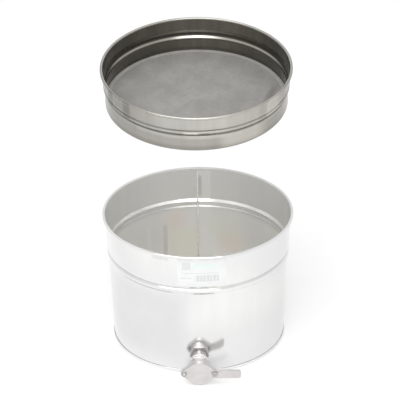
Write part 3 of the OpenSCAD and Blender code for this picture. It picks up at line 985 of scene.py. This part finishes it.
# Painted reflections on the strainer's front: a dark spot and a cream glint on the bead, a dark line
# along the upper groove, dark and light streaks, a lighter patch low on the right, a darker patch on the
# left
strainerPaintedReflections = (
    (-1, 0.016, 0.004, 38.5 * mm, 41 * mm, 8 * mm, 2.5 * mm, 0.5, darkPaintedShade),
    (-1, -0.012, 0.011, 39 * mm, 42.5 * mm, 7 * mm, 2.5 * mm, 0.6, creamPaintedHighlight),
    (-1, 0.000, 0.040, highGroove - 0.8 * mm, highGroove + 1.2 * mm, 30 * mm, 0.9 * mm, 0.5, darkPaintedShade),
    (-1, -0.169, 0.003, 42 * mm, 78 * mm, 3 * mm, 4 * mm, 0.5, darkPaintedShade),
    (-1, -0.137, 0.004, 42 * mm, 80 * mm, 5 * mm, 4 * mm, 0.3, darkPaintedShade),
    (-1, 0.148, 0.008, 42 * mm, 78 * mm, 8 * mm, 5 * mm, 0.2, creamPaintedHighlight),
    (-1, 0.090, 0.025, 8 * mm, 26 * mm, 30 * mm, 8 * mm, 0.25, creamPaintedHighlight),
    (-1, -0.125, 0.030, 45 * mm, 80 * mm, 30 * mm, 4 * mm, 0.2, darkPaintedShade),
)
# Inside the strainer: painted shade in the grooves and low down, a cream painted highlight between the
# low groove's lines, painted light on the rim
strainerInsidePaintedLightBands = (
    (lowGroove - 0.5 * mm, lowGroove + 1.7 * mm, 0.8 * mm, 0.75, darkPaintedShade),
    (lowGroove + 5.8 * mm, lowGroove + 8 * mm, 0.8 * mm, 0.75, darkPaintedShade),
    (lowGroove + 2.6 * mm, lowGroove + 4.8 * mm, 0.9 * mm, 0.2, creamPaintedHighlight),
    (highGroove - 3 * mm, highGroove + 1 * mm, 0.9 * mm, 0.8, darkPaintedShade),
    (5 * mm, 14 * mm, 4 * mm, 0.5, darkPaintedShade),
    (curlHeight - 0.5 * mm, curlHeight + 4 * mm, 0.8 * mm, 0.9, (0.45, 0.44, 0.41)),
)
# A stronger cream painted highlight on the far side, between the low groove's lines
strainerInsidePaintedHighlight = (
    (1, 0.005, 0.020, lowGroove + 2.6 * mm, lowGroove + 4.8 * mm, 40 * mm, 1.1 * mm, 0.8, creamPaintedHighlight),
)


def makeStrainerBand(plan):
    sheet, bend = plan["sheet"], plan["edgeTurn"]
    low, high = lowGroove - plan["beadLow"], highGroove + plan["beadHigh"]
    plain = evenly(bend, low - 1 * mm, plan["plainRings"])
    bead = evenly(low, high, plan["beadRings"])
    collar = evenly(high, curlHeight - plan["curl"], plan["collarRings"])[1:-1]
    heights = plain + bead + collar
    middle = lowR - bend
    flat = middle - plan["edgeFlat"]

    # the lower edge turns inwards under the mesh
    def turned(radius):
        angles = [math.radians(a) for a in range(90, 0, -15)]
        return [(middle + radius * math.cos(a), bend - radius * math.sin(a), 0) for a in angles]

    outer = [(flat, 0, 0), *turned(bend), *((bandRadius(z), z, 0) for z in heights)]
    inner = [(bandRadius(z) - sheet, z, 0) for z in reversed(heights)]
    inner += [*reversed(turned(bend - sheet)), (flat, sheet, 0)]
    curl = curlPoints(bandHigh.x - plan["curl"], curlHeight, plan["curl"], sheet)
    bm = revolved(softened(outer + curl + inner), plan["steps"])
    markInside(bm)
    bm.transform(lifted)
    outside = sheetLook("strainerOutside", strainerOutside, lifted, strainerPaintedShadeBands, strainerPaintedReflections)
    inside = sheetLook("strainerInsidePaintedShade", strainerInsidePaintedShade, lifted, strainerInsidePaintedLightBands, strainerInsidePaintedHighlight)
    return linked(bm, "strainerBand", [outside, inside])


gauze = {
    "rings": 44,
    "steps": 160,
    "sag": 1.2 * mm,
    "wrinkle": 0.7 * mm,
    "foldHeight": 3.0,  # in wrinkles; places and spreads are in radii
    "foldPlace": 0.80,
    "foldSpread": 0.025,
    "foldRun": (34, 14),
    "waveScale": 2.4,
    "waveLayer": 5,
}


# The gauze: a thin round sheet that sags a little and is wrinkled near one edge
def makeGauze(plan):
    radius = lowR - strainer["sheet"] - 0.1 * mm
    z = strainer["meshLift"]
    rings = plan["rings"]
    bm = spun([(radius * i / rings, z) for i in range(rings + 1)], plan["steps"], False)
    runX, runY = plan["foldRun"]
    for vert in bm.verts:
        x, y = vert.co.x / radius, vert.co.y / radius
        free = max(1 - x * x - y * y, 0)  # 0 at the held edge
        away = (x - plan["foldPlace"]) ** 2 + y ** 2
        folds = plan["foldHeight"] * math.exp(-away / plan["foldSpread"]) * math.sin(runX * x - runY * y)
        waves = noise.noise(Vector((x * plan["waveScale"], y * plan["waveScale"], plan["waveLayer"])))
        vert.co.z -= free * plan["sag"] * (1 + 0.5 * waves)
        vert.co.z += min(free * 4, 1) * plan["wrinkle"] * (folds + 0.35 * waves)
    bmesh.ops.recalc_face_normals(bm, faces=bm.faces)
    bmesh.ops.solidify(bm, geom=bm.faces[:], thickness=strainer["meshThick"])
    bm.transform(lifted)
    return linked(bm, "strainerGauze", [gauzeLook("gauze", gauzeFinish, lifted)])


def ringPiece(name, points, finish):
    bm = revolved(softened(points), 256)
    bm.transform(lifted)
    return linked(bm, name, [finish])


placed(makeStrainerBand(strainer), "strainer", "strainer_steel", "strainer_band")
placed(makeGauze(gauze), "strainer", "mesh_gauze", "strainer_mesh")
ringSteel = turnedLook("ringSteel", dullSteel)
meshTop = strainer["meshLift"] + strainer["meshThick"]
ringOut = lowR - strainer["sheet"]
ringIn = ringOut - strainer["holdWidth"]
ringTop = meshTop + strainer["sheet"]
holdRing = ringPiece("holdRing", [
    (ringIn, meshTop, 0.2 * mm), (ringOut, meshTop, 0),
    (ringOut, ringTop, 0), (ringIn, ringTop, 0.5 * mm),
], ringSteel)
seatRing = edgesBroken("mesh_seat_ring", "seatRing", 0.15 * mm, ringSteel)
placed(holdRing, "strainer", "strainer_steel", "mesh_hold_ring")
placed(seatRing, "strainer", "strainer_steel", "mesh_seat_ring")


bandSeam = {
    "turn": math.radians(250),
    "low": 55.6 * mm,
    "high": 74.4 * mm,
}


def makeBandSeam(plan):
    bm = bmesh.new()

    def face(across, along):
        z = plan["low"] + along * (plan["high"] - plan["low"])
        wave = seam["ripple"] * math.sin(2 * math.pi * z / seam["pitch"])
        r = bandRadius(z) - strainer["sheet"] - seam["proud"] * (1 - (2 * across) ** 2) - wave
        angle = plan["turn"] + across * seam["width"] / r
        return Vector((r * math.cos(angle), r * math.sin(angle), z))

    weldStrip(bm, face, 6, 60, 0.3 * mm)
    bm.transform(lifted)
    return linked(bm, "bandSeam", [weldLook("bandWeld", paintedShadeWeld, lambda x, y, z: z)])


placed(makeBandSeam(bandSeam), "strainer", "weld_steel", "band_seam_weld")
print("strainer made")


# The wires inside the two rolled rims keep their CAD shape

wireFinish = turnedLook("wireSteel", wireSteel)
for node in ("tank_rim_wire", "strainer_rim_wire"):
    mesh = frame["nodes"][node].data
    mesh.materials.clear()
    mesh.materials.append(wireFinish)


# Studio

studio = {
    "floorSize": 30,
    "floorColour": (0.86, 0.86, 0.86),
    "floorGlow": 0.2,
    "ambient": 0.74,
}
keyLamp = {
    "name": "softbox",
    "place": (-0.7, -1.6, 3.7),
    "size": 3.2,
    "power": 60,
}
frontLamp = {
    "name": "frontPanel",  # reaches the tank's far wall below the lifted strainer
    "place": (0.3, -3.7, 2.2),
    "size": 3,
    "power": 37,
}


def makeFloor(plan):
    bm = bmesh.new()
    bmesh.ops.create_grid(bm, x_segments=2, y_segments=2, size=plan["floorSize"] / 2)
    mesh = bpy.data.meshes.new("floor")
    bm.to_mesh(mesh)
    bm.free()
    floor = bpy.data.objects.new("floor", mesh)
    bpy.context.scene.collection.objects.link(floor)
    look = Look("floor", {
        "Base Color": (*plan["floorColour"], 1), "Roughness": 0.9, "Specular IOR Level": 0.0,
        "Emission Color": (1, 1, 1, 1), "Emission Strength": plan["floorGlow"],
    })
    mesh.materials.append(look.material)


# White where the camera, gloss or glass sees it, and softer as light
def makeWorld(plan):
    world = bpy.data.worlds.new("studio")
    bpy.context.scene.world = world
    world.use_nodes = True
    nodes = Nodes(world.node_tree, "Background", {"Color": (1, 1, 1, 1)})
    path = nodes.add("ShaderNodeLightPath", {}, {})
    seen, gloss, glass = nodes.outputs(path, "Is Camera Ray", "Is Glossy Ray", "Is Transmission Ray")
    white = seen.largest(gloss).largest(glass)
    levels = {"Value": white, "To Min": plan["ambient"], "To Max": 1.0}
    nodes.feed("Strength", nodes.add("ShaderNodeMapRange", {}, levels))


def makeLamp(plan):
    light = bpy.data.lights.new(plan["name"], "AREA")
    light.size = plan["size"]
    light.energy = plan["power"]
    lamp = bpy.data.objects.new(plan["name"], light)
    bpy.context.scene.collection.objects.link(lamp)
    lamp.location = plan["place"]
    lamp.rotation_euler = (-Vector(plan["place"])).to_track_quat("-Z", "Y").to_euler()


makeFloor(studio)
makeWorld(studio)
makeLamp(keyLamp)
makeLamp(frontLamp)
bpy.context.scene.view_settings.view_transform = "Standard"
print("studio ready")
